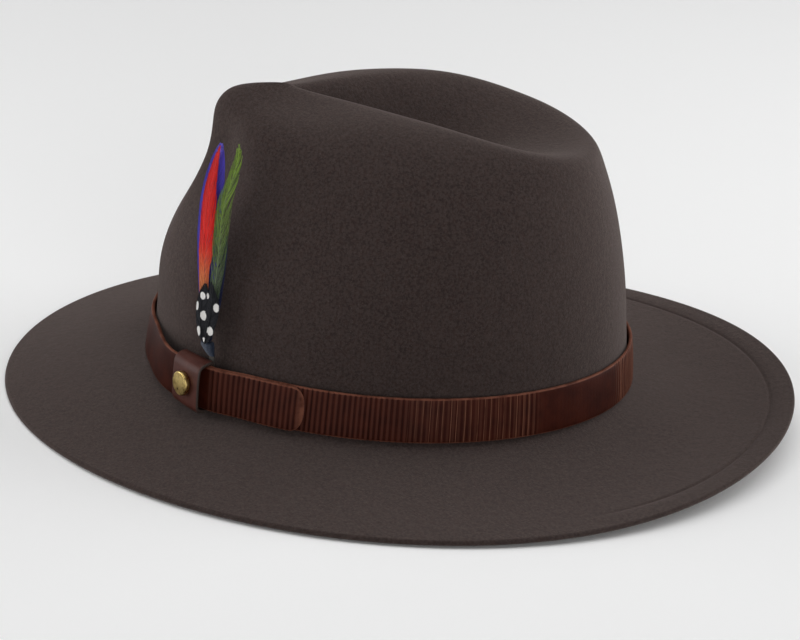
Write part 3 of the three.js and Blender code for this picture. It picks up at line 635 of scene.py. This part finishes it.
def make_strap(material):
    angle = np.arange(28.9, TAIL_TIP - TAIL_ROUND, 0.14)
    rounding = np.sin(np.radians(np.linspace(3, 88, 30)))
    angle = np.concatenate([angle, TAIL_TIP - TAIL_ROUND * (1 - rounding)])
    phi = np.radians(angle)
    speed = np.linalg.norm(np.gradient(oval(phi), axis=0), axis=1)
    along = np.cumsum(speed)
    wander = 0.3 * np.sin(along * 0.23) + 0.25 * np.sin(along * 0.071 + 1)
    rib = np.abs(np.sin(np.pi * (along / RIB_PITCH + wander * 0.4))) ** 0.45
    depth = rib_depth(angle)
    worn = smooth(84, 92, angle) * (1 - smooth(113, 121, angle)) + smooth(146, 152, angle) * (angle < 330)
    round_off = np.clip((angle - (TAIL_TIP - TAIL_ROUND)) / TAIL_ROUND, 0, 1)
    half = (BAND_TOP - BAND_LOW) / 2 * (1 - round_off**2.4) ** (1 / 2.4)
    near = np.abs((angle + 180) % 360 - 180 - KEEPER_ANGLE)
    upright = 1 - smooth(KEEPER_SPAN, 24, near)
    off = strap_offset(angle)
    skived = smooth(TAIL_TIP - 2.3, TAIL_TIP - 0.6, angle)
    outline = [(-1, 0.3), (-1, STRAP - 0.4), (-0.97, STRAP - 0.1)]
    outline += [(level, STRAP) for level in np.linspace(-0.93, 0.93, 13)]
    outline += [(0.97, STRAP - 0.1), (1, STRAP - 0.4), (1, 0.3), (0.97, 0), (-0.97, 0)]
    columns, edges, ups = [], [], []
    for level, out in outline:
        face = out == STRAP
        raised = 0.6 * (rib - 1) * depth if out > STRAP - 0.5 else 0
        swell = 0.25 * (1 - level**2) if face else 0
        z = BAND_MIDDLE + half * level
        thick = (out + raised + swell) * (1 - 0.75 * skived) + 0.5 * skived
        columns.append(band_point(phi, off + thick, z, upright))
        cut_edge = 0.0 if face or out == 0 else 1.0
        edges.append(np.maximum(cut_edge, skived * (out > 0)))
        ups.append(z)
    points = np.stack(columns, 1)
    count = len(outline)
    same = lambda values: np.repeat(np.asarray(values)[:, None], count, 1)
    return piece(
        "strap", points.reshape(-1, 3), strip_faces(len(phi), count), "hat", material, "band_leather",
        ["band_strap"],
        {
            "along": same(along), "rib": same(rib), "ribbed": same(depth), "worn": same(worn),
            "edge": np.stack(edges, 1), "up": np.stack(ups, 1),
        },
    )


def keeper_loop(back, front, low, high, radius):
    """The keeper's section as (off, z): flat at the back, rounded and a little bulged at the front."""
    turn = np.radians(np.linspace(0, 90, 9))
    lower = [(front - radius + radius * math.sin(a), low + radius - radius * math.cos(a)) for a in turn]
    upper = [(front - radius + radius * math.cos(a), high - radius + radius * math.sin(a)) for a in turn]
    face = [(front, z) for z in np.linspace(low + radius, high - radius, 12)[1:-1]]
    middle, reach = (low + high) / 2, (high - low) / 2
    bulged = [
        (off + KEEPER_BULGE * (1 - ((z - middle) / reach) ** 2) * (off > front - radius), z)
        for off, z in lower + face + upper
    ]
    corner = 0.8
    ends = [(back, low + corner), (back + corner, low)], [(back + corner, high), (back, high - corner)]
    return np.array(ends[0] + bulged + ends[1])


def make_keeper(material):
    """A leather loop round both layers of the strap, tight at its front end and flared at the other."""
    inner = keeper_loop(INNER_AT - GAP, KEEPER_FRONT, BAND_LOW - GAP, BAND_TOP + GAP, 2.6)
    wall = KEEPER_LEATHER
    low, high = BAND_LOW - GAP - wall, BAND_TOP + GAP + wall
    outer = keeper_loop(INNER_AT - wall, KEEPER_FRONT + wall, low, high, 4.0)
    rounding = 0.35  # degrees of the soft edge at each end
    reach = KEEPER_SPAN - rounding
    half_turn = np.radians(np.linspace(0, 180, 9))[1:-1]
    path = [(a, 0.0) for a in np.linspace(-reach, reach, 18)]
    path += [(reach + rounding * math.sin(a), 0.5 - 0.5 * math.cos(a)) for a in half_turn]
    path += [(a, 1.0) for a in np.linspace(reach, -reach, 18)]
    path += [(-reach - rounding * math.sin(a), 0.5 + 0.5 * math.cos(a)) for a in half_turn]
    loops, edge, painted_inside_shade = [], [], []
    for a, share in path:
        loop = outer * (1 - share) + inner * share
        flare = KEEPER_FLARE * (a + KEEPER_SPAN) / (2 * KEEPER_SPAN)
        off = loop[:, 0] + flare * smooth(INNER_AT, KEEPER_FRONT, loop[:, 0])
        loops.append(band_point(np.full(len(loop), math.radians(KEEPER_ANGLE + a)), off, loop[:, 1], 1))
        edge.append(np.full(len(loop), 1.0 if 0.02 < share < 0.98 else 0.0))
        # marks the loop's inside face for painted shade
        painted_inside_shade.append(np.full(len(loop), 1.0 if share == 1 else 0.0))
    points = np.stack(loops)
    faces = grid_faces(*points.shape[:2], wrap_rows=True, wrap_columns=True)
    attributes = {"edge": np.stack(edge), "painted_inside_shade": np.stack(painted_inside_shade)}
    return piece(
        "keeper", points.reshape(-1, 3), faces, "hat", material, "band_leather", ["band_keeper"], attributes
    )


def rivet_lathe(profile, sides):
    """A profile of (radius, out) turned about the rivet's axis; out is counted from under its head."""
    phi = np.array([math.radians(KEEPER_ANGLE)])
    normal = oval_normal(phi)[0]
    towards_back = np.array([-normal[1], normal[0], 0])
    axis = normal * math.cos(RIVET_TURN) - towards_back * math.sin(RIVET_TURN)
    centre = band_point(phi, RIVET_AT, RIVET_HEIGHT, 1)[0]
    side = unit(np.cross(axis, UP))
    turn = np.linspace(0, 2 * np.pi, sides, endpoint=False)
    ring = side * np.cos(turn)[:, None] + UP * np.sin(turn)[:, None]
    points = np.stack([centre + axis * out + ring * max(radius, 1e-4) for radius, out in profile])
    return points.reshape(-1, 3), strip_faces(len(profile), sides)


def make_rivet(material):
    """A plain brass head with a softened rim and a slight dome; the CAD's post stays behind it."""
    radius, soft, top = 5.1, 0.55, 2.3
    turn = np.radians(np.linspace(0, 90, 8))
    rim = [(radius - soft + soft * math.cos(a), top - soft + soft * math.sin(a)) for a in turn]
    dome = [(r, top + 0.2 * (1 - (r / 4.5) ** 2)) for r in np.linspace(4.3, 0, 9)]
    profile = [(0, 0), (radius - 0.4, 0), (radius, 0.4), *rim, *dome]
    piece("rivet_head", *rivet_lathe(profile, 72), "hat", material, "brass", ["rivet_cap"])
    dress("rivet_post", material)


def dress(node, material):
    """Gives a CAD node that stays in view its material."""
    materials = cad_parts[node].data.materials
    materials.clear()
    materials.append(material)


# ---- Feather trim ----

TRIM_ANGLE = math.radians(35)
TRIM_BASE = 22.0  # the height from which the trim's "up" is counted
TRIM_BEND = 9  # how far the trim leans in towards the felt, 90 mm up


def trim_point(across, up, out):
    """The trim's plane: across towards the back, up from just above the band, out from the felt."""
    phi = np.array([TRIM_ANGLE])
    normal = oval_normal(phi)[0]
    side = np.array([-normal[1], normal[0], 0])
    across, up, out = np.broadcast_arrays(across, up, out)
    bend = TRIM_BEND * (np.clip(up, 0, None) / 90) ** 2
    root = oval(phi)[0] + UP * TRIM_BASE
    return root + across[..., None] * side + (out - bend)[..., None] * normal + up[..., None] * UP


# Each feather's outline as (up, left edge, right edge), and how far out from the felt it lies.
FEATHERS = {
    "blue": (
        [(6.4, -1, 1), (20, -6.6, 1), (38, -10.7, 0), (50, -13, -1), (62, -14.1, -1.8), (72, -13.5, -2.3)]
        + [(81, -11.5, -4.2), (86, -9.5, -6.2), (88.2, -7.9, -7.5)],
        0.9,
    ),
    "navy": ([(6.4, 1, 2.6), (13, 0.5, 3.6), (23, 1, 5.6), (36, 1.5, 6), (47, 2.5, 5.8), (53, 4, 4.4)], 1.7),
    "red": (
        [(6.4, -0.5, 1), (20, -5, 0), (37, -7.9, -2.2), (45, -9.4, -1.3), (52, -10.4, -1.6), (62, -11.4, -3)]
        + [(71, -10.9, -4.9), (81, -8.9, -5.9), (87.3, -6.9, -6.6)],
        2.5,
    ),
    "green": (
        [(6.4, 1, 2.5), (28, 0.2, 6), (36, 0, 6.6), (43, -0.8, 6.9), (51, -2, 6.4), (59, -2.5, 6)]
        + [(66, -2.8, 5.8), (73, 0, 6.3), (81, 1.8, 7.1), (87, 2.6, 6.7), (91.6, 3.3, 3.6)],
        3.3,
    ),
    "guinea_left": (
        [(6.4, -0.6, 1.4), (9, -3.2, 1.2), (15.5, -5.2, 1), (21.5, -5.6, 1.2)]
        + [(27.5, -4.2, 1), (31, -2, -0.6)],
        4.1,
    ),
    "guinea_right": (
        [(6.4, 1, 3), (12, 0.4, 6), (20, 0.5, 7.9), (26.5, 0.8, 7.4), (30.5, 1.4, 4.6), (33, 2.2, 2.8)],
        4.9,
    ),
}
# White spots on the guinea feathers as (across, up, half width, half height).
SPOTS = [
    (-2.2, 25.5, 1.6, 1.6), (0.9, 26.5, 1.1, 1.3), (-4.9, 20.3, 0.9, 2.0), (6.5, 23.1, 1.5, 1.9),
    (-0.5, 17.4, 2.0, 2.1), (-2.8, 10.0, 1.2, 2.2), (4.4, 12.4, 1.6, 2.0), (1.3, 7.6, 0.9, 1.1),
]


def outline_at(rows, s):
    """The middle, half width and height of a feather at shares s of its length, smoothly between the rows."""
    rows = np.array(rows, float)
    up = rows[0, 0] + (rows[-1, 0] - rows[0, 0]) * np.asarray(s, float)
    fine = np.linspace(rows[0, 0], rows[-1, 0], 200)
    kernel = bell(np.arange(-12, 13), 4.5)
    kernel /= kernel.sum()
    edges = []
    for column in (1, 2):
        edge = np.interp(fine, rows[:, 0], rows[:, column])
        padded = np.concatenate([2 * edge[0] - edge[12:0:-1], edge, 2 * edge[-1] - edge[-2:-14:-1]])
        edges.append(np.interp(up, fine, np.convolve(padded, kernel, "valid")))
    left, right = edges
    return (left + right) / 2, np.maximum((right - left) / 2, 0.2), up


def barbs(key, side, spacing=0.3, lean=28, ragged=0.08, width=0.42, stations=5):
    """Closed thin prisms from the shaft to the vane's outline, and their attributes."""
    rows, out = FEATHERS[key]
    length = rows[-1][0] - rows[0][0]
    widest = max(outline_at(rows, np.linspace(0, 1, 50))[1])
    start = np.arange(0.0, 0.985, spacing / length)
    start = start + random.uniform(-0.4, 0.4, len(start)) * spacing / length
    reach = outline_at(rows, np.clip(start + 0.05, 0, 1))[1] / math.tan(math.radians(lean)) / length
    end = np.minimum(start + reach, 1.0)
    off = outline_at(rows, end)[1] * (1 - ragged * random.random(len(start)) ** 2)
    off = np.where(end > 0.995, off * random.uniform(0.1, 0.9, len(start)), off)
    u = np.linspace(0, 1, stations)[None, :]
    s = start[:, None] + (end - start)[:, None] * (0.25 * u + 0.75 * u**1.3)
    aside = off[:, None] * np.sin(u * np.pi / 2) ** 0.9
    middle, _, up = outline_at(rows, s)
    across = middle + side * aside
    lift = 0.12 * random.random(len(start))[:, None] - 0.45 * (aside / widest) ** 2
    thin = width * (1 - 0.75 * u**3) + 0 * s
    corners = [
        trim_point(across - side * thin * 0.35, up + thin / 2, out + lift),
        trim_point(across + side * thin * 0.35, up - thin / 2, out + lift),
        trim_point(across, up, out + lift + 0.13),
    ]
    points = np.stack(corners, 2)
    one = strip_faces(stations, 3)
    faces = [[k + i * stations * 3 for k in face] for i in range(len(start)) for face in one]
    shade = np.repeat(random.random(len(start)) ** 1.5, stations * 3)
    same = lambda values: np.repeat(values[..., None], 3, -1).ravel()
    attributes = {"along": same(s), "shade": shade, "across": same(across), "up": same(up)}
    return points.reshape(-1, 3), faces, attributes


def make_feather(key, material, **barb):
    """One feather: a tapered shaft and the barbs on both sides of it."""
    rows, out = FEATHERS[key]
    s = np.linspace(0, 0.97, 40)
    middle, _, up = outline_at(rows, s)
    shaft = tube(trim_point(middle, up, out + 0.1), np.linspace(0.4, 0.12, len(s)), 8)
    same = lambda values: np.repeat(values, 8)
    parts = [(*shaft, {"along": same(s), "shade": same(0 * s), "across": same(middle), "up": same(up)})]
    parts += [barbs(key, side, **barb) for side in (-1, 1)]
    points, faces = joined([p[:2] for p in parts])
    attributes = {kind: np.concatenate([p[2][kind] for p in parts]) for kind in parts[0][2]}
    slot = "feather_guinea" if key.startswith("guinea") else "feather_" + key
    name = "feather_" + key
    return piece(name + "_vane", points, faces, "feather_trim", material, slot, [name], attributes)


def make_binding(material):
    """Dark blue thread wound round the feathers' roots, narrower where it goes down behind the keeper."""
    # Each row is up, then the middle and half width across, then the back and front out from the felt.
    profile = [[0.3, 2.7, 1.4, 0.4, 2.4], [3, 2.0, 2.3, 0.4, 4.0], [5, 1.5, 2.8, 0.4, 4.9]]
    profile = np.array(profile + [[6.1, 1.2, 2.7, 0.4, 4.8]])
    turns, per_turn = 24, 6
    up = np.linspace(0.3, 6.1, turns * per_turn)
    centre, half, back, front = (np.interp(up, profile[:, 0], profile[:, k]) for k in (1, 2, 3, 4))
    thread = 0.12 * np.abs(np.sin(np.pi * np.arange(len(up)) / per_turn)) - 0.08
    turn = np.linspace(0, 2 * np.pi, 32, endpoint=False)
    squared = lambda c: np.sign(c) * np.abs(c) ** 0.75
    across = centre[:, None] + (half + thread)[:, None] * squared(np.cos(turn))[None]
    out = ((front - back) / 2 + thread)[:, None] * squared(np.sin(turn))[None]
    out = ((back + front) / 2)[:, None] + out
    points = trim_point(across, up[:, None] + 0.12 * np.sin(turn)[None], out)
    piece(
        "wound_thread", points.reshape(-1, 3), strip_faces(len(up), 32), "feather_trim", material, "thread",
        ["feather_binding"],
    )


def make_feathers():
    blue = vane_material("blue_vane", (0.06, 0.045, 0.3), (0.06, 0.045, 0.42), (0.09, 0.06, 0.5))
    make_feather("blue", blue, ragged=0.03)
    navy = vane_material("navy_vane", (0.006, 0.008, 0.03), (0.008, 0.011, 0.05), (0.012, 0.02, 0.09))
    make_feather("navy", navy)
    red = vane_material(
        "red_vane", (0.6, 0.2, 0.06), (0.72, 0.01, 0.005), (0.6, 0.006, 0.006), (0.25, 0.52), 0.65
    )
    make_feather("red", red, lean=14, ragged=0.35)
    green = vane_material(
        "green_vane", (0.1, 0.14, 0.075), (0.14, 0.22, 0.035), (0.2, 0.32, 0.03), (0.3, 0.62), 0.85,
        (0.012, 0.022, 0.006),
    )
    make_feather("green", green, lean=17, ragged=0.7, spacing=0.6, width=0.36)
    guinea = guinea_material("guinea_vane", SPOTS)
    make_feather("guinea_left", guinea, stations=9, ragged=0.03)
    make_feather("guinea_right", guinea, stations=9, ragged=0.03)
    make_binding(plain_material("thread", (0.015, 0.022, 0.04), (0.04, 0.055, 0.09), 900, 0.5, 0.3))
    dress("feather_stem", plain_material("quill", (0.05, 0.045, 0.04), (0.09, 0.08, 0.07), 500, 0.5, 0.1))


# ---- Inside the hat ----

SWEATBAND_AT, SWEATBAND = 3.8, 1.0  # its outer face in from the felt's outer face, and its thickness
REED_AT, REED_RADIUS = 4.3, 0.8
TAPE_AT, TAPE = 2.6, 0.5
STITCH_AT, STITCH_HEIGHT = 4.95, 3.4
LINING_AT, TIP_AT, SATIN = 3, 3.6, 0.4
EDGE_LOW = -0.8  # the lower edge of the sweatband and its tape


def inner_ring(heights, depth, thickness, phi=STATIONS, wave=None):
    """A strip against the inside of the felt, from its lowest to its highest edge, as a closed loop."""
    heights = np.asarray(heights, float)
    t = wall_at(np.maximum(heights, 1), phi)
    depth = np.broadcast_to(depth, t.shape) + (0 if wave is None else wave)
    outer, inner = inside(t, phi, depth), inside(t, phi, depth + thickness)
    outer[..., 2] = inner[..., 2] = heights
    inner[:, 0, 2] += thickness * 0.3
    inner[:, -1, 2] -= thickness * 0.3
    return np.concatenate([outer, inner[:, ::-1]], 1)


def ring_piece(name, loops, material, slot, replaced):
    faces = grid_faces(*loops.shape[:2], wrap_rows=True, wrap_columns=True)
    return piece(name, loops.reshape(-1, 3), faces, "hat", material, slot, replaced)


def make_sweatband(material, thread, reed, tape):
    heights = [np.linspace(EDGE_LOW, 1.2, 5), np.linspace(2, 33, 20), np.linspace(33.3, 34, 3)]
    band = inner_ring(np.concatenate(heights), SWEATBAND_AT, SWEATBAND)
    ring_piece("leather_sweatband", band, material, "sweat_leather", ["sweatband"])
    tape_ring = inner_ring(np.linspace(EDGE_LOW, 9, 12), TAPE_AT, TAPE)
    ring_piece("grosgrain_tape", tape_ring, tape, "tape", ["reed_tape"])
    turn = np.linspace(0, 2 * np.pi, 14, endpoint=False)
    tubes = inside(np.full((ROUND, 14), 0.02), STATIONS, REED_AT + REED_RADIUS * np.cos(turn)[None, :])
    tubes[..., 2] = EDGE_LOW - GAP - REED_RADIUS + REED_RADIUS * np.sin(turn)
    ring_piece("reed", tubes, reed, "reed_plastic", ["sweatband_reed"])
    stitches = []
    count = 150
    for k in range(count):
        phi = -math.pi + 2 * math.pi * (k + np.linspace(0.12, 0.7, 6)) / count
        path = inside(wall_at([STITCH_HEIGHT], phi), phi, STITCH_AT)[:, 0]
        path[:, 2] = STITCH_HEIGHT
        dip = np.sin(np.linspace(0, np.pi, 6))
        path += oval_normal(phi) * (0.25 * (1 - dip))[:, None]
        stitches.append(tube(path, 0.2, 6))
    points, faces = joined(stitches)
    piece("sweatband_stitches", points, faces, "hat", thread, "thread")


def make_lining(material):
    """The satin lining: a pleated side panel up to the ridge, and a tip under the dent."""
    phi = -np.pi + 2 * np.pi * (np.arange(720) + 0.5) / 720
    t = np.linspace(0.1, 1.15, 60)
    pleats = (phi * 44 / (2 * np.pi)) % 1
    fold = np.clip(1 - np.abs(pleats - 0.5) * 2, 0, 1) ** 1.5
    rise = smooth(0.1, 0.6, t) * (1 - smooth(1.02, 1.15, t))
    depth = LINING_AT + 1.5 * fold[:, None] * rise[None, :]
    grid = inside(np.broadcast_to(t, depth.shape), phi, depth)
    under = inside(np.broadcast_to(t, depth.shape), phi, depth + SATIN)
    points = np.concatenate([grid, under[:, ::-1]], 1)
    side = ring_piece("lining_panel", points, material, "lining_satin", ["lining_side"])
    t = np.linspace(2, 1.14, 40)
    low, high = inside(t, STATIONS, TIP_AT), inside(t, STATIONS, TIP_AT + SATIN)
    loops = np.concatenate([low, high[:, ::-1]], 1)
    faces = grid_faces(*loops.shape[:2], wrap_rows=True)
    tip = piece(
        "lining_crown_tip", loops.reshape(-1, 3), faces, "hat", material, "lining_satin", ["lining_tip"],
        relax=floor_of_dent,
    )


def inside_place(angle, z):
    """A place on the sweatband's inner face: its origin, the way in and the way along."""
    phi = np.array([math.radians(angle)])
    inward = -oval_normal(phi)[0]
    side = unit(np.cross(inward, UP))
    origin = inside(wall_at([z], phi), phi, SWEATBAND_AT + SWEATBAND + 0.35)[0, 0]
    origin[2] = z
    return origin, inward, side


def on_sweatband(place, x, y, out):
    """Points x along, y up and out inwards from a place on the sweatband."""
    origin, inward, side = place
    return origin + x[..., None] * side + y[..., None] * UP + out[..., None] * inward


def make_bow(material):
    """A small ribbon bow sewn to the sweatband at the back: two loops and a knot."""
    place = inside_place(180, 6)
    turn = np.linspace(-0.94 * np.pi, 0.94 * np.pi, 40)
    parts = []
    for way in (-1, 1):
        length = 5.6 - 4.6 * np.cos(turn)
        x = way * (10.2 - length)
        out = 0.9 + 0.85 * np.sin(turn) * np.sqrt(np.clip(1 - np.cos(turn), 0, 2) / 2 + 0.1)
        pinched = 1.3 + 2.6 * smooth(0, 5, np.abs(x))
        sides = ((-1, 0), (1, 0), (1, 0.22), (-1, 0.22))
        edges = [on_sweatband(place, x, sign * pinched, out + shift) for sign, shift in sides]
        parts.append((np.stack(edges, 1).reshape(-1, 3), strip_faces(len(turn), 4)))
    knot_turn = np.linspace(0, 2 * np.pi, 24, endpoint=False)
    rows = np.linspace(-1.5, 1.5, 7)
    knot = []
    for row in rows:
        out = 1.15 + 1.05 * np.sin(knot_turn) * (1 - 0.08 * row * row)
        knot.append(on_sweatband(place, 1.5 * np.cos(knot_turn), 0 * knot_turn + row, out))
    knot = np.stack(knot)
    parts.append((knot.reshape(-1, 3), strip_faces(len(rows), 24)))
    points, faces = joined(parts)
    bow = piece("ribbon_bow", points, faces, "hat", material, "tape", ["sweatband_bow"])


def make_label(material):
    place = inside_place(90, 14)
    x, y = np.meshgrid(np.linspace(-8, 8, 24), np.linspace(-6, 6, 18), indexing="ij")
    out = 0.12 * np.sin(x * 0.9) * np.cos(y * 0.7) + 0.9 - 0.0035 * x * x
    top, under = on_sweatband(place, x, y, out + 0.4), on_sweatband(place, x, y, out)
    points = np.concatenate([top.reshape(-1, 3), under.reshape(-1, 3)])
    rows, columns = x.shape
    count = rows * columns
    faces = grid_faces(rows, columns) + [face[::-1] for face in grid_faces(rows, columns, start=count)]
    ring = list(range(columns)) + [i * columns + columns - 1 for i in range(1, rows)]
    ring += [(rows - 1) * columns + j for j in range(columns - 2, -1, -1)]
    ring += [i * columns for i in range(rows - 2, 0, -1)]
    for a, b in zip(ring, ring[1:] + ring[:1]):
        faces.append([a, a + count, b + count, b])
    label = piece("woven_label", points, faces, "hat", material, "label", ["size_label"])


# ---- Assembly ----

make_camera()
make_studio()
make_felt(felt_material())
make_strap(band_leather())
make_keeper(keeper_leather())
make_rivet(brass_material())
make_feathers()
ribbon = plain_material("grosgrain", (0.014, 0.011, 0.01), (0.03, 0.024, 0.022), 1200, 0.7, 0.3)
make_sweatband(
    plain_material("sweat_leather", (0.035, 0.021, 0.015), (0.05, 0.031, 0.023), 260, 0.45, 0.2),
    plain_material("stitching", (0.02, 0.015, 0.013), (0.05, 0.04, 0.035), 1500, 0.7, 0.2),
    plain_material("reed", (0.55, 0.5, 0.4), (0.66, 0.62, 0.52), 200, 0.4, 0.05),
    ribbon,
)
satin = plain_material(
    "satin", (0.075, 0.022, 0.018), (0.11, 0.036, 0.028), 1500, 0.32, 0.06, Sheen_Weight=0.3, Anisotropic=0.5,
)
make_lining(satin)
make_bow(ribbon)
make_label(plain_material("label_weave", (0.6, 0.56, 0.47), (0.72, 0.68, 0.58), 1500, 0.8, 0.3))

bpy.context.view_layer.update()
